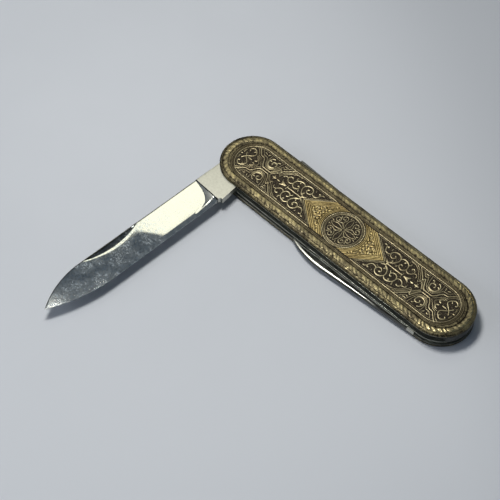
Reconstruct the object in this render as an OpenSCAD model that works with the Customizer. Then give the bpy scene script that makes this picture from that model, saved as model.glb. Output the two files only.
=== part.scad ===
// Two-blade pocket knife with damascened covers.
// The main blade stands half open and the pen blade is closed.
// The handle lies on its rear cover, along X.
// The back springs are on the +Y side and the slots on the -Y side.

/* [Handle] */
// Length of the handle over the covers
handle_len = 86.8; // [84:0.2:96]
// Width of the handle over the covers
handle_w = 18.7; // [17.4:0.1:22]
// Thickness of one cover at its crest
cover_t = 0.9; // [0.8:0.05:1.4]
// Height of a cover's upright outer edge
cover_edge = 0.45; // [0.2:0.05:0.6]
// Width of the rounded outer part of a cover's rim
crown_w = 1.9; // [1.2:0.05:2.2]
// Thickness of a liner
liner_t = 0.3; // [0.25:0.05:0.5]
// How far the liners lie inside the edge of the covers
liner_inset = 0.1; // [0.05:0.05:0.5]

/* [Inlay] */
// Length of a panel
panel_len = 80.3; // [74:0.1:82]
// Width of a panel
panel_w = 13.7; // [13.2:0.1:14.4]
// Thickness of a panel
panel_t = 0.5; // [0.4:0.02:0.6]
// How far a panel lies below the crest of the rim
panel_sink = 0.06; // [0.02:0.02:0.14]
// Length of the lozenge from tip to tip
lozenge_len = 28.8; // [22:0.2:36]
// Length of each flat side of the lozenge
lozenge_side = 14.4; // [12.8:0.2:18]
// Width of the lozenge across its flat sides
lozenge_w = 11.5; // [9:0.1:12.8]
// Depth of the seat of the lozenge in the panel
lozenge_seat = 0.2; // [0.1:0.02:0.3]
// Diameter of the medallion
medallion_d = 12.4; // [9:0.1:13]
// Depth of the seat of the medallion in the panel
medallion_seat = 0.3; // [0.1:0.02:0.36]
// Width of the ring around the face of the medallion
medallion_ring = 0.9; // [0.4:0.1:2]
// Width of the groove inside that ring
medallion_groove_w = 0.25; // [0.1:0.05:0.5]
// Depth of the groove inside that ring
medallion_groove = 0.08; // [0.04:0.02:0.2]
// Gap around an inlaid piece
inlay_gap = 0.03; // [0.02:0.01:0.06]

/* [Main blade] */
// Distance of the main pivot from the end of the handle
main_pivot_inset = 9.8; // [9.2:0.1:11]
// Distance of the main pivot from the middle line, towards the slot
main_pivot_drop = 2.9; // [2.4:0.1:3.4]
// Distance from the main pivot to the tip
main_len = 69.4; // [58:0.2:69.6]
// Distance from the main pivot's line to the spine
main_spine = 7.15; // [6.6:0.05:8]
// Distance from the main pivot's line to the cutting edge
main_edge = 2.3; // [1.6:0.1:3]
// Distance of the tip from the main pivot's line, towards the spine
main_tip_off = 2.3; // [1:0.1:3]
// Length of the main blade's point on the spine side
main_point_spine = 15; // [10:0.5:22]
// Length of the main blade's point on the edge side
main_point_edge = 20; // [14:0.5:28]
// Thickness of the main blade's layer between the liners
main_layer_t = 2; // [1.8:0.05:2.6]
// Thickness of the main blade at its spine
main_spine_t = 1.5; // [1.2:0.05:1.7]
// Length of the main tang from the pivot to the blade
main_tang_len = 12.6; // [11.5:0.1:15]
// How far the kick stands out past the main pivot's line
main_kick = 3; // [2.5:0.1:3.4]
// Radius of the main tang's round end
main_cam_r = 6; // [5.6:0.05:6.1]
// Distance from the main pivot to the tang's flats
main_flat = 4.6; // [4.2:0.05:4.8]
// Opening angle at which the main blade stands
main_open = 90.9; // [0:0.1:178]
// Outward tilt of the main blade when it is closed
main_tilt = 2; // [1.6:0.1:3]
// Length of the main blade's nail nick
main_nick_len = 18; // [12:0.5:22]
// Width of the main blade's nail nick
main_nick_w = 1.7; // [1:0.1:2.2]
// Distance from the main pivot to the middle of its nail nick
main_nick_at = 43.5; // [36:0.5:46]

/* [Pen blade] */
// Distance of the pen pivot from the end of the handle
pen_pivot_inset = 7.7; // [7:0.1:8.4]
// Distance of the pen pivot from the middle line, towards the slot
pen_pivot_drop = 3.7; // [3.2:0.1:4]
// Distance from the pen pivot to the tip
pen_len = 46; // [38:0.5:52]
// Distance from the pen pivot's line to the spine
pen_spine = 5.7; // [5.2:0.05:6.2]
// Distance from the pen pivot's line to the cutting edge
pen_edge = 0.8; // [0.4:0.1:1.6]
// Distance of the tip from the pen pivot's line, towards the spine
pen_tip_off = 2.6; // [1.6:0.1:3.4]
// Length of the pen blade's point on the spine side
pen_point_spine = 12.5; // [8:0.5:18]
// Length of the pen blade's point on the edge side
pen_point_edge = 15; // [10:0.5:20]
// Thickness of the pen blade's layer between the liners
pen_layer_t = 1.3; // [1.2:0.05:2]
// Thickness of the pen blade at its spine
pen_spine_t = 1; // [0.8:0.05:1.1]
// Length of the pen tang from the pivot to the blade
pen_tang_len = 5; // [4.6:0.1:7]
// How far the pen kick stands out past the pivot's line
pen_kick = 1.3; // [1:0.1:2]
// Radius of the pen tang's round end
pen_cam_r = 4.3; // [3.8:0.05:4.5]
// Distance from the pen pivot to the tang's flats
pen_flat = 4; // [3.4:0.05:4.2]
// Outward tilt of the pen blade when it is closed
pen_tilt = 4; // [3:0.1:5]
// Length of the pen blade's nail nick
pen_nick_len = 12; // [8:0.5:14]
// Width of the pen blade's nail nick
pen_nick_w = 1.2; // [0.8:0.1:1.6]
// Distance from the pen pivot to the middle of its nail nick
pen_nick_at = 26; // [20:0.5:27]

/* [Blades] */
// Thickness of a cutting edge
edge_t = 0.16; // [0.1:0.02:0.3]
// Depth of a nail nick
nick_depth = 0.3; // [0.2:0.05:0.4]
// Width of the strip of spine left outside a nail nick
nick_rim = 0.35; // [0.2:0.05:0.6]
// Radius of the notch between the kick and the cutting edge
choil_r = 0.7; // [0.4:0.05:0.9]
// Distance from a pivot to the stop shoulder on its tang
shoulder = 2.8; // [2.6:0.05:3]

/* [Springs] */
// Depth of a back spring from its back to its inner edge
spring_depth = 4.6; // [4:0.1:5.4]
// Distance of the middle rivet from the back of the springs
rivet_back = 2.4; // [2:0.1:2.8]
// Angle at which the main spring is lifted by the half-open blade
main_lift = 2.4; // [1.6:0.1:2.8]
// Length of the lower tongue at the free end of the main spring
tongue_len = 11; // [9:0.5:13]
// Depth of the step down to that tongue
tongue_step = 3.4; // [2.6:0.1:3.8]
// Length of a spring's nose over the tang
nose_len = 6.5; // [5.6:0.1:8]
// Radius of a spring's tail around the far pivot
tail_r = 2.4; // [2.1:0.05:2.6]

/* [Pins and fits] */
// Diameter of a pivot pin
pivot_d = 2.2; // [1.8:0.1:2.6]
// Diameter of the middle rivet
middle_d = 1.8; // [1.4:0.1:2.2]
// Spread of a riveted head beyond its shank
head_spread = 0.35; // [0.2:0.05:0.5]
// Diameter of a cover rivet
cover_rivet_d = 1.2; // [0.8:0.1:1.6]
// Distance of the cover rivets from the middle of the handle, lengthwise
cover_rivet_x = 19; // [14:0.5:24]
// Distance of the cover rivets from the middle line
cover_rivet_y = 4; // [3:0.1:4.6]
// Gap between a blade and the liners on each side
side_gap = 0.05; // [0.03:0.01:0.08]
// Radial clearance of a tang on its pivot
pivot_gap = 0.04; // [0.02:0.01:0.08]
// Radial clearance of a riveted pin in a liner or a spring
rivet_gap = 0.01; // [0.005:0.005:0.02]
// Gap between a tang and the nose of its spring
cam_gap = 0.06; // [0.04:0.01:0.12]
// Gap between the nose of a spring and the stop shoulder
stop_gap = 0.4; // [0.35:0.05:0.6]

/* [Hidden] */
$fn = 96;

// Heights of the layers, from the rear cover's face upwards
z_rear_liner = cover_t;
z_pen = z_rear_liner + liner_t;
z_centre_liner = z_pen + pen_layer_t;
z_main = z_centre_liner + liner_t;
z_front_liner = z_main + main_layer_t;
z_front_cover = z_front_liner + liner_t;

// Plan of the handle: two round ends joined by straight sides
half_w = handle_w / 2;
straight = handle_len / 2 - half_w;
main_pivot = [main_pivot_inset - handle_len / 2, -main_pivot_drop];
pen_pivot = [handle_len / 2 - pen_pivot_inset, -pen_pivot_drop];
middle = [0, half_w - rivet_back];

// Section of a cover: tray floor under the panel, then the rounded rim
floor_t = cover_t - panel_sink - panel_t;
land_r = half_w - crown_w;
crown_drop = cover_t - cover_edge;
crown_r = (crown_w * crown_w + crown_drop * crown_drop) / (2 * crown_drop);
panel_top = cover_t - panel_sink;

// Half width of a tang's neck, as a share of the radius of its round end
neck_share = 1 / 3;
// Height of the kick where it leaves the round end, as a share of its full height
kick_share = 0.75;
// Distance of the notch's centre outside the cutting edge, as a share of its radius
choil_share = 0.5;
// Boolean cuts run this far past a face
past = 1;
// Colours of the finishes
gilt = [0.66, 0.54, 0.27];
blackened = [0.17, 0.15, 0.12];
steel = [0.82, 0.83, 0.82];
spring_steel = [0.62, 0.63, 0.63];
brass = [0.72, 0.6, 0.35];

// Radius of an arc that leaves a straight line and reaches side over a run along it
function arc_r(run, side) = (run * run + side * side) / (2 * side);
// A point turned about the middle rivet
function turned(p, a) = middle + [
    cos(a) * (p.x - middle.x) - sin(a) * (p.y - middle.y),
    sin(a) * (p.x - middle.x) + cos(a) * (p.y - middle.y)
];

// Plan with two full-round ends
module plan(len, w) {
    run = (len - w) / 2;
    square([2 * run, w], center = true);
    for (side = [-1, 1])
        translate([side * run, 0])
            circle(d = w);
}

module handle_plan(inset) plan(handle_len - 2 * inset, handle_w - 2 * inset);

// Section carried around the plan of the handle
module around_plan() {
    translate([-straight, 0, 0])
        rotate([90, 0, 90])
            linear_extrude(2 * straight) {
                children();
                mirror([1, 0]) children();
            }
    for (side = [0, 1])
        mirror([side, 0, 0])
            translate([straight, 0, 0])
                rotate([0, 0, -90])
                    rotate_extrude(angle = 180)
                        children();
}

// Puts a cover's piece, drawn from the liner outwards, on the front or the rear
module on_front() translate([0, 0, z_front_cover]) children();
module on_rear() translate([0, 0, cover_t]) mirror([0, 0, 1]) children();

module cover_section() {
    square([land_r, cover_t]);
    intersection() {
        square([half_w, cover_t]);
        translate([land_r, cover_t - crown_r])
            circle(crown_r);
    }
}

module at_cover_rivets() {
    for (x = [-1, 1], y = [-1, 1])
        translate([x * cover_rivet_x, y * cover_rivet_y, 0])
            children();
}

// Rivet through a liner and the floor of its cover, headed at both ends
module cover_rivet(gap) {
    r = cover_rivet_d / 2 + gap;
    head = r + head_spread;
    rotate_extrude()
        polygon([
            [0, -liner_t], [head, -liner_t], [r, -liner_t / 2],
            [r, floor_t / 2], [head, floor_t], [0, floor_t]
        ]);
}

module cover() {
    difference() {
        around_plan() cover_section();
        translate([0, 0, floor_t])
            linear_extrude(cover_t) plan(panel_len, panel_w);
        at_cover_rivets() cover_rivet(rivet_gap);
    }
}

module cover_rivets() at_cover_rivets() cover_rivet(0);

module lozenge_plan(gap) {
    x = lozenge_len / 2 + gap;
    side = lozenge_side / 2;
    y = lozenge_w / 2 + gap;
    polygon([[-x, 0], [-side, -y], [side, -y], [x, 0], [side, y], [-side, y]]);
}

module panel() {
    translate([0, 0, floor_t])
        difference() {
            linear_extrude(panel_t) plan(panel_len - 2 * inlay_gap, panel_w - 2 * inlay_gap);
            translate([0, 0, panel_t - lozenge_seat])
                linear_extrude(panel_t) lozenge_plan(inlay_gap);
            translate([0, 0, panel_t - medallion_seat])
                cylinder(h = panel_t, d = medallion_d);
        }
}

// The lozenge shows as two wings, one on each side of the medallion
module lozenge() {
    translate([0, 0, panel_top - lozenge_seat])
        linear_extrude(lozenge_seat + panel_sink)
            difference() {
                lozenge_plan(0);
                circle(d = medallion_d + 2 * inlay_gap);
            }
}

module medallion() {
    r = medallion_d / 2 - inlay_gap;
    groove_r = r - medallion_ring;
    translate([0, 0, panel_top - medallion_seat])
        difference() {
            cylinder(h = medallion_seat + panel_sink, r = r);
            translate([0, 0, medallion_seat + panel_sink - medallion_groove])
                difference() {
                    cylinder(h = past, r = groove_r);
                    cylinder(h = past, r = groove_r - medallion_groove_w);
                }
        }
}

// Pin through all the layers, with a spread head in each outer liner
module through_pin(d, gap) {
    r = d / 2 + gap;
    head = r + head_spread;
    rotate_extrude()
        polygon([
            [0, z_rear_liner], [head, z_rear_liner], [r, z_pen],
            [r, z_front_liner], [head, z_front_cover], [0, z_front_cover]
        ]);
}

module through_pins(gap) {
    translate(main_pivot) through_pin(pivot_d, gap);
    translate(pen_pivot) through_pin(pivot_d, gap);
    translate(middle) through_pin(middle_d, gap);
}

module liner(z) {
    difference() {
        translate([0, 0, z])
            linear_extrude(liner_t)
                handle_plan(liner_inset);
        through_pins(rivet_gap);
    }
}

// Plan of a blade with its tip on +X and its spine on -Y, the pivot at the origin
module blade_plan(from, len, spine, edge, tip_off, point_spine, point_edge) {
    spine_r = arc_r(point_spine, spine - tip_off);
    edge_r = arc_r(point_edge, edge + tip_off);
    intersection() {
        translate([from, -spine])
            square([len - from, spine + edge]);
        union() {
            translate([from, -spine]) square([len - point_spine - from, spine + edge]);
            translate([len - point_spine, spine_r - spine]) circle(spine_r);
        }
        union() {
            translate([from, -spine]) square([len - point_edge - from, spine + edge]);
            translate([len - point_edge, edge - edge_r]) circle(edge_r);
        }
    }
}

// Plan of a tang: a round end with two flats, the stop shoulder and the kick
module tang_plan(len, spine, kick, cam_r, flat) {
    neck = cam_r * neck_share;
    intersection() {
        circle(cam_r);
        translate([-cam_r, -flat]) square([2 * cam_r, 2 * flat]);
    }
    polygon([
        [0, -neck], [shoulder, -neck], [shoulder, -spine], [len, -spine],
        [len, kick], [cam_r, kick * kick_share], [0, neck]
    ]);
}

// Blade ground to a wedge, with a nail nick on its upper side
module ground_blade(from, len, spine, edge, tip_off, point_spine, point_edge, spine_t,
                    nick_at, nick_len, nick_w) {
    nick_r = arc_r(nick_len / 2, nick_w);
    nick_y = nick_rim - spine;
    difference() {
        intersection() {
            translate([0, 0, -spine_t])
                linear_extrude(2 * spine_t)
                    blade_plan(from, len, spine, edge, tip_off, point_spine, point_edge);
            rotate([90, 0, 90])
                linear_extrude(len + past)
                    polygon([
                        [-spine, -spine_t / 2], [edge, -edge_t / 2],
                        [edge, edge_t / 2], [-spine, spine_t / 2]
                    ]);
        }
        translate([0, 0, spine_t / 2 - nick_depth])
            linear_extrude(spine_t)
                intersection() {
                    translate([nick_at - nick_len / 2, nick_y]) square([nick_len, nick_w]);
                    translate([nick_at, nick_y + nick_w - nick_r]) circle(nick_r);
                }
    }
}

module tang(len, spine, kick, cam_r, flat, edge, layer_t) {
    t = layer_t - 2 * side_gap;
    translate([0, 0, -t / 2])
        difference() {
            linear_extrude(t) tang_plan(len, spine, kick, cam_r, flat);
            translate([0, 0, -past]) cylinder(h = t + 2 * past, d = pivot_d + 2 * pivot_gap);
            translate([len, edge + choil_r * choil_share, -past]) cylinder(h = t + 2 * past, r = choil_r);
        }
}

module place_main() {
    translate([main_pivot.x, main_pivot.y, z_main + main_layer_t / 2])
        rotate([0, 0, -main_tilt - main_open])
            children();
}

module place_pen() {
    translate([pen_pivot.x, pen_pivot.y, z_pen + pen_layer_t / 2])
        rotate([0, 0, pen_tilt])
            rotate([0, 180, 0])
                children();
}

module main_blade() {
    color(steel)
        place_main() {
            ground_blade(main_tang_len, main_len, main_spine, main_edge, main_tip_off, main_point_spine,
                         main_point_edge, main_spine_t, main_nick_at, main_nick_len, main_nick_w);
            tang(main_tang_len, main_spine, main_kick, main_cam_r, main_flat, main_edge, main_layer_t);
        }
}

module pen_blade() {
    color(steel)
        place_pen() {
            ground_blade(pen_tang_len, pen_len, pen_spine, pen_edge, pen_tip_off, pen_point_spine,
                         pen_point_edge, pen_spine_t, pen_nick_at, pen_nick_len, pen_nick_w);
            tang(pen_tang_len, pen_spine, pen_kick, pen_cam_r, pen_flat, pen_edge, pen_layer_t);
        }
}

// Fixed half of a back spring: from the middle rivet round the end of the handle to the far pivot
module spring_tail(pivot) {
    inner = half_w - spring_depth;
    low = pivot.y - tail_r;
    left = pivot.x - tail_r;
    intersection() {
        handle_plan(0);
        union() {
            polygon([
                [-rivet_back, inner], [left - spring_depth, inner], [left, pivot.y + tail_r], [left, pivot.y],
                [pivot.x, pivot.y], [pivot.x, low], [handle_len, low], [handle_len, handle_w],
                [-rivet_back, handle_w]
            ]);
            translate(pivot) circle(tail_r);
        }
    }
}

// Free half of a back spring, drawn at rest: a leaf with a nose that bears on the tang
module spring_leaf(pivot, seat, tongue, step) {
    inner = half_w - spring_depth;
    tip = pivot.x - shoulder + stop_gap;
    foot = tip + nose_len;
    intersection() {
        handle_plan(0);
        polygon([
            [rivet_back, inner], [foot + spring_depth, inner], [foot, seat], [tip, seat],
            [tip, half_w - step], [tip + tongue, half_w - step], [tip + tongue, half_w], [rivet_back, half_w]
        ]);
    }
}

// Whole back spring with its free end on -X, the leaf lifted by an angle about the middle rivet
module back_spring(t, nose_pivot, tail_pivot, cam_r, lift, tongue, step) {
    seat = turned(nose_pivot, lift).y + cam_r + cam_gap;
    difference() {
        union() {
            linear_extrude(t)
                spring_tail(tail_pivot);
            translate(middle)
                rotate(-lift)
                    translate(-middle)
                        linear_extrude(t)
                            spring_leaf(nose_pivot, seat, tongue, step);
        }
        translate([middle.x, middle.y, -past])
            cylinder(h = t + 2 * past, d = middle_d + 2 * rivet_gap);
        translate([tail_pivot.x, tail_pivot.y, -past])
            cylinder(h = t + 2 * past, d = pivot_d + 2 * rivet_gap);
    }
}

module main_spring() {
    color(spring_steel)
        translate([0, 0, z_main])
            back_spring(main_layer_t, main_pivot, pen_pivot, main_cam_r, main_lift, tongue_len, tongue_step);
}

module pen_spring() {
    color(spring_steel)
        translate([0, 0, z_pen])
            mirror([1, 0, 0])
                back_spring(pen_layer_t, [-pen_pivot.x, pen_pivot.y], [-main_pivot.x, main_pivot.y],
                            pen_cam_r, 0, 0, 0);
}

module front_liner() {
    color(brass)
        difference() {
            liner(z_front_liner);
            on_front() at_cover_rivets() cover_rivet(rivet_gap);
        }
}

module rear_liner() {
    color(brass)
        difference() {
            liner(z_rear_liner);
            on_rear() at_cover_rivets() cover_rivet(rivet_gap);
        }
}

module centre_liner() color(brass) liner(z_centre_liner);

module main_pivot_pin() color(brass) translate(main_pivot) through_pin(pivot_d, 0);
module pen_pivot_pin() color(brass) translate(pen_pivot) through_pin(pivot_d, 0);
module middle_rivet() color(brass) translate(middle) through_pin(middle_d, 0);

module front_cover() color(gilt) on_front() cover();
module front_panel() color(blackened) on_front() panel();
module front_lozenge() color(gilt) on_front() lozenge();
module front_medallion() color(blackened) on_front() medallion();
module front_cover_rivets() color(brass) on_front() cover_rivets();
module rear_cover() color(gilt) on_rear() cover();
module rear_panel() color(blackened) on_rear() panel();
module rear_lozenge() color(gilt) on_rear() lozenge();
module rear_medallion() color(blackened) on_rear() medallion();
module rear_cover_rivets() color(brass) on_rear() cover_rivets();

front_cover();
front_panel();
front_lozenge();
front_medallion();
front_cover_rivets();
rear_cover();
rear_panel();
rear_lozenge();
rear_medallion();
rear_cover_rivets();
front_liner();
centre_liner();
rear_liner();
main_blade();
pen_blade();
main_spring();
pen_spring();
main_pivot_pin();
pen_pivot_pin();
middle_rivet();
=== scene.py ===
# %% [markdown]
# # A two-blade pocket knife with damascened covers
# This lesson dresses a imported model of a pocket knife. The model gives the solid pieces and the two hinges.
# Here the covers get their rope rim and scrollwork, the blades get their ground faces, and every piece gets
# the finish of its real material. All sizes are written in millimetres and turned to metres in one place.

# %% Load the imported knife
import math

import bmesh
import bpy
import numpy as np
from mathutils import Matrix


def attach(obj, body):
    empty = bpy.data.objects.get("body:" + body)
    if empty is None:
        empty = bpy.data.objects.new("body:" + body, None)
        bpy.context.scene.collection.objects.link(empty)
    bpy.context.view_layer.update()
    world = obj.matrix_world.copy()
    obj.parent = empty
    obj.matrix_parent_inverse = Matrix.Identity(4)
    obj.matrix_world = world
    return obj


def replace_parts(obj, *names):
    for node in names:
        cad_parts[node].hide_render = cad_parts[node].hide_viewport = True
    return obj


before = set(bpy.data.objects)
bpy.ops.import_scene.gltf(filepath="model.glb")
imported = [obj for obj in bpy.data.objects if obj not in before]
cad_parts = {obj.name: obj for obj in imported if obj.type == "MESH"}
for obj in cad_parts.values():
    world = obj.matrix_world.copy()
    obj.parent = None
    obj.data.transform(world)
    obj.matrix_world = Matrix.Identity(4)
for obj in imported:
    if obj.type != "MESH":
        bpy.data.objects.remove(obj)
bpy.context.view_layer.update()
MM = 0.001

# %% [markdown]
# ## The view
# The photograph looks down on the knife from about 55 degrees, with a lens long enough to keep the handle's
# two ends nearly the same size. The camera is placed once, by its point, its two angles and its lens.

# %% Camera
CAMERA_AT = (122.985, -161.455, 287.517)
CAMERA_DOWN, CAMERA_ROUND = 55.324, 44.421
CAMERA_LENS = 92.484

camera = bpy.data.objects.new("camera", bpy.data.cameras.new("camera"))
camera.data.lens = CAMERA_LENS
camera.data.sensor_width = 36
camera.data.clip_start, camera.data.clip_end = 0.01, 20
camera.location = np.array(CAMERA_AT) * MM
camera.rotation_euler = (math.radians(90 - CAMERA_DOWN), 0, math.radians(CAMERA_ROUND))
bpy.context.scene.collection.objects.link(camera)
bpy.context.scene.camera = camera
bpy.context.scene.view_settings.view_transform = "Standard"
print("camera at", CAMERA_AT)

# %% [markdown]
# ## Helpers for materials
# A finish is a small tree of nodes. One function turns a hex colour, as a painter would read it from a chart,
# into the linear numbers that the renderer needs. Another adds one node with its settings and its links. The
# others make the few kinds of node that all the finishes share: noises, ramps, mixes, sums and fine relief.


# %% Colours and nodes
def linear(code):
    """sRGB hex to linear: each channel is undone with the standard sRGB curve."""
    channels = np.array([int(code[i:i + 2], 16) for i in (1, 3, 5)]) / 255
    low, high = channels / 12.92, ((channels + 0.055) / 1.055) ** 2.4
    return (*np.where(channels <= 0.04045, low, high).tolist(), 1.0)


def plug(tree, node, inputs):
    """Gives each socket of a node its value, or links it when the value is another node's output."""
    for socket, value in dict(inputs).items():
        if isinstance(value, bpy.types.NodeSocket):
            tree.links.new(value, node.inputs[socket])
        else:
            node.inputs[socket].default_value = value


def add(tree, kind, inputs=(), **settings):
    """Adds a node: settings are its properties, and its inputs are plugged."""
    made = tree.nodes.new(kind)
    for name, value in settings.items():
        setattr(made, name, value)
    plug(tree, made, inputs)
    return made


def finish_named(name):
    """An empty material and its shader and coordinates: returns the material, tree, shader and a point in mm."""
    material = bpy.data.materials.new(name)
    material.use_nodes = True
    tree = material.node_tree
    shader = tree.nodes["Principled BSDF"]
    place = add(tree, "ShaderNodeTexCoord")
    point = add(tree, "ShaderNodeVectorMath", {0: place.outputs["Object"], "Scale": 1 / MM}, operation="SCALE")
    return material, tree, shader, point.outputs["Vector"]


print("gold in linear numbers:", [round(c, 3) for c in linear("#b3924a")[:3]])


# %% Kinds of node
def carried(tree, name):
    """The value of that name that the mesh carries."""
    return add(tree, "ShaderNodeAttribute", attribute_name=name).outputs["Fac"]


def mapped(tree, point, turn=0, scale=(1, 1, 1)):
    """The point turned about z by `turn` degrees and scaled."""
    return add(tree, "ShaderNodeMapping", {"Vector": point, "Rotation": (0, 0, math.radians(turn)),
                                           "Scale": scale}).outputs["Vector"]


def noise(tree, point, scale, detail, rough=0.5, bent=0.0):
    """Noise around 0.5: about `scale` lumps in a millimetre, with `detail` finer layers."""
    return add(tree, "ShaderNodeTexNoise", {"Vector": point, "Scale": scale, "Detail": detail,
                                            "Roughness": rough, "Distortion": bent}).outputs["Fac"]


def remap(tree, value, start, end, low=0.0, high=1.0, **settings):
    """Goes from low to high while the value goes from start to end, and no further."""
    return add(tree, "ShaderNodeMapRange", {"Value": value, "From Min": start, "From Max": end,
                                            "To Min": low, "To Max": high}, **settings).outputs["Result"]


def blend(tree, share, first, second):
    """Mixes two colours, each a hex code or an output: share 0 gives the first, 1 the second."""
    first, second = (linear(colour) if isinstance(colour, str) else colour for colour in (first, second))
    return add(tree, "ShaderNodeMix", {0: share, 6: first, 7: second}, data_type="RGBA").outputs[2]


def calc(tree, operation, *values, **settings):
    """One step of arithmetic on the values."""
    return add(tree, "ShaderNodeMath", dict(enumerate(values)), operation=operation, **settings).outputs[0]


def bump(tree, height, strength, depth):
    """Fine relief that the light follows; depth is in millimetres."""
    relief = add(tree, "ShaderNodeBump", {"Height": height, "Strength": strength, "Distance": depth * MM})
    return relief.outputs["Normal"]


# %% [markdown]
# ## Stamped and gilded brass
# The rims of the covers are brass that was stamped with a rope border and gilded. Handling has polished the
# crests, and wax and dirt have stayed in the hollows. The rim's mesh carries a value, 0 on a crest and 1 in a
# valley, so that dirt and gloss follow the real shape; it also holds painted shade and painted light that follow
# the side the rim faces. Slow blotches make the gilding uneven over some millimetres, and a fine grain of about a
# fifth of a millimetre breaks up the gloss. The leaf on the lozenge and the hammered wire of the scrolls are the
# same kind of metal, less glossy and less dirty.

# %% Gilt brass, aged
DIRT_ROUGH = 0.6


def gilt_brass(name, crest, dull, dirt_and_shade, worn, gloss):
    """Metal that goes from crest to dull in blotches, and to the dark colour in the hollows and, by `worn`, in
    spots.
    Depth is the mesh's value for hollows and painted shade plus worn times (two noises minus 1); roughness goes
    from `gloss` up to DIRT_ROUGH with it."""
    material, tree, shader, point = finish_named(name)
    gilding = blend(tree, remap(tree, noise(tree, point, 0.22, 5, 0.6), 0.36, 0.66), crest, dull)
    grain, wear = noise(tree, point, 4.5, 3), noise(tree, point, 1.1, 3, 0.6)
    stain = calc(tree, "MULTIPLY_ADD", calc(tree, "ADD", grain, wear), worn, -worn)
    depth = calc(tree, "ADD", carried(tree, "hollow_and_shade"), stain, use_clamp=True)
    plug(tree, shader, {
        "Base Color": blend(tree, depth, gilding, dirt_and_shade),
        "Roughness": remap(tree, depth, 0, 0.6, gloss, DIRT_ROUGH),
        "Normal": bump(tree, grain, 0.25, 0.03),
        "Metallic": 1.0,
    })
    return material


rim_gilt = gilt_brass("gilt_brass_stamped", "#cbbd90", "#7f765f", "#27231d", 1.4, 0.18)
leaf_gold = gilt_brass("gold_leaf_engraved", "#d0bb83", "#917f57", "#2a2113", 1.1, 0.42)
wire_gold = gilt_brass("gold_wire_hammered_in", "#c8bc98", "#a29576", "#433a28", 0.6, 0.42)
print("gilt finishes:", rim_gilt.name, leaf_gold.name, wire_gold.name)

# %% [markdown]
# ## Blackened steel
# The dark ground of damascene work is steel that was roughened with fine crossed cuts, so that gold holds on
# it, and then blackened with heat and oil. It is nearly black, a little brown, and half dull. The crossed cuts
# are drawn a quarter of a millimetre apart, coarser than on the real one, so that they show at all. Tiny points
# of gold, half a millimetre apart, fill the ground between the scrolls.

# %% Blackened ground
ground_black, tree, shader, point = finish_named("steel_blackened_cross_cut")
tone = blend(tree, noise(tree, point, 0.8, 4), "#17120b", "#32291a")
cuts = [add(tree, "ShaderNodeTexWave", {"Vector": mapped(tree, point, turn), "Scale": 1.25, "Distortion": 1.5,
                                        "Detail": 1}).outputs["Fac"] for turn in (45, -45)]
dots = add(tree, "ShaderNodeTexVoronoi", {"Vector": point, "Scale": 2.1, "Randomness": 0.7})
fleck = remap(tree, dots.outputs["Distance"], 0.34, 0.2, 0, 0.75)
plug(tree, shader, {
    "Base Color": blend(tree, fleck, tone, "#6b614a"),
    "Normal": bump(tree, calc(tree, "MULTIPLY", *cuts), 0.4, 0.03),
    "Roughness": 0.6,
    "Specular IOR Level": 0.2,
})
print("ground:", ground_black.name)

# %% [markdown]
# ## Polished carbon steel
# The blades were mirror polished. Use has left fine scratches along the blade, a sixth of a millimetre apart, and
# on the outer half, where a hand opens it, small dark spots and a film of finger marks. The film scatters a little
# light, so it shows where the steel mirrors something dark; here it lowers the metallic value. The tangs are only
# satin, so the mesh carries a value named satin: 1 on a tang, less on the grinding ramp, the spine bevel and the
# worn point, and 0 on a polished face. The mesh also carries a value that darkens the nail nick and paints shade
# in lines beside the spine and the tang.

# %% Blade steel
MARKS_FADE, SPOTS_FADE = (-26, -38), (-33, -38)
SATIN_ROUGH = 0.42


def blade_steel(name, along, finest, coarsest):
    """Mirror steel with scratches at the angle `along`, roughness from finest to coarsest. Finger marks are a noise
    of half a millimetre times one of some millimetres; they and the spots grow with the distance in y."""
    material, tree, shader, point = finish_named(name)
    satin, hollow_and_shade = carried(tree, "satin"), carried(tree, "hollow_and_shade")
    outwards = add(tree, "ShaderNodeSeparateXYZ", {0: point}).outputs["Y"]
    scratch = noise(tree, mapped(tree, point, -along, (0.25, 3, 1)), 2.2, 6, 0.7)
    lines = remap(tree, scratch, 0.5, 0.75, finest, coarsest)
    whorls = remap(tree, noise(tree, point, 1.5, 3, 0.6, 1.5), 0.44, 0.64)
    marks = calc(tree, "MULTIPLY", whorls, remap(tree, outwards, *MARKS_FADE, 0.3))
    smudge = remap(tree, noise(tree, point, 0.3, 4, 0.6), 0.4, 0.6, 0.01, 0.5)
    film = calc(tree, "MULTIPLY", smudge, marks)
    spots = noise(tree, point, 1.6, 5, 0.7)
    handled = remap(tree, outwards, *SPOTS_FADE, 0.08)
    spotted = calc(tree, "MULTIPLY", remap(tree, spots, 0.48, 0.7, 0, 0.9), handled)
    bright = blend(tree, spotted, blend(tree, marks, "#dfe0db", "#cfdbe3"), "#868f96")
    clean = blend(tree, satin, bright, blend(tree, spots, "#d6d6cc", "#a5a59c"))
    # The dark colour #4c4d4a darkens the nail nick and paints shade in lines by the spine and the tang.
    plug(tree, shader, {
        "Base Color": blend(tree, hollow_and_shade, clean, "#4c4d4a"),
        "Roughness": add(tree, "ShaderNodeMix", {0: satin, 2: lines, 3: SATIN_ROUGH}).outputs[0],
        "Metallic": calc(tree, "SUBTRACT", 1.0, film),
        "Normal": bump(tree, scratch, 0.05, 0.01),
    })
    return material


MAIN_TURN, PEN_TURN = -92.9, 4
main_steel = blade_steel("carbon_steel_mirror_polished", MAIN_TURN, 0.035, 0.07)
pen_steel = blade_steel("carbon_steel_polished_pen", PEN_TURN, 0.06, 0.1)
print("blade finishes:", main_steel.name, pen_steel.name)

# %% [markdown]
# ## Liners, springs and rivets
# These pieces keep the imported solids, because their plain shape is right. They only need better surfaces: the
# brass liners are sanded along the handle and have tarnished to grey, the springs are steel with a satin back, and
# the rivets are plain drawn brass. The sanding lines are a fifth of a millimetre apart. Towards the end with the
# pen blade their colour darkens: painted shade.

# %% Sanded metals
END_SHADE_STARTS, END_SHADE_FULL = 32, 40


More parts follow.
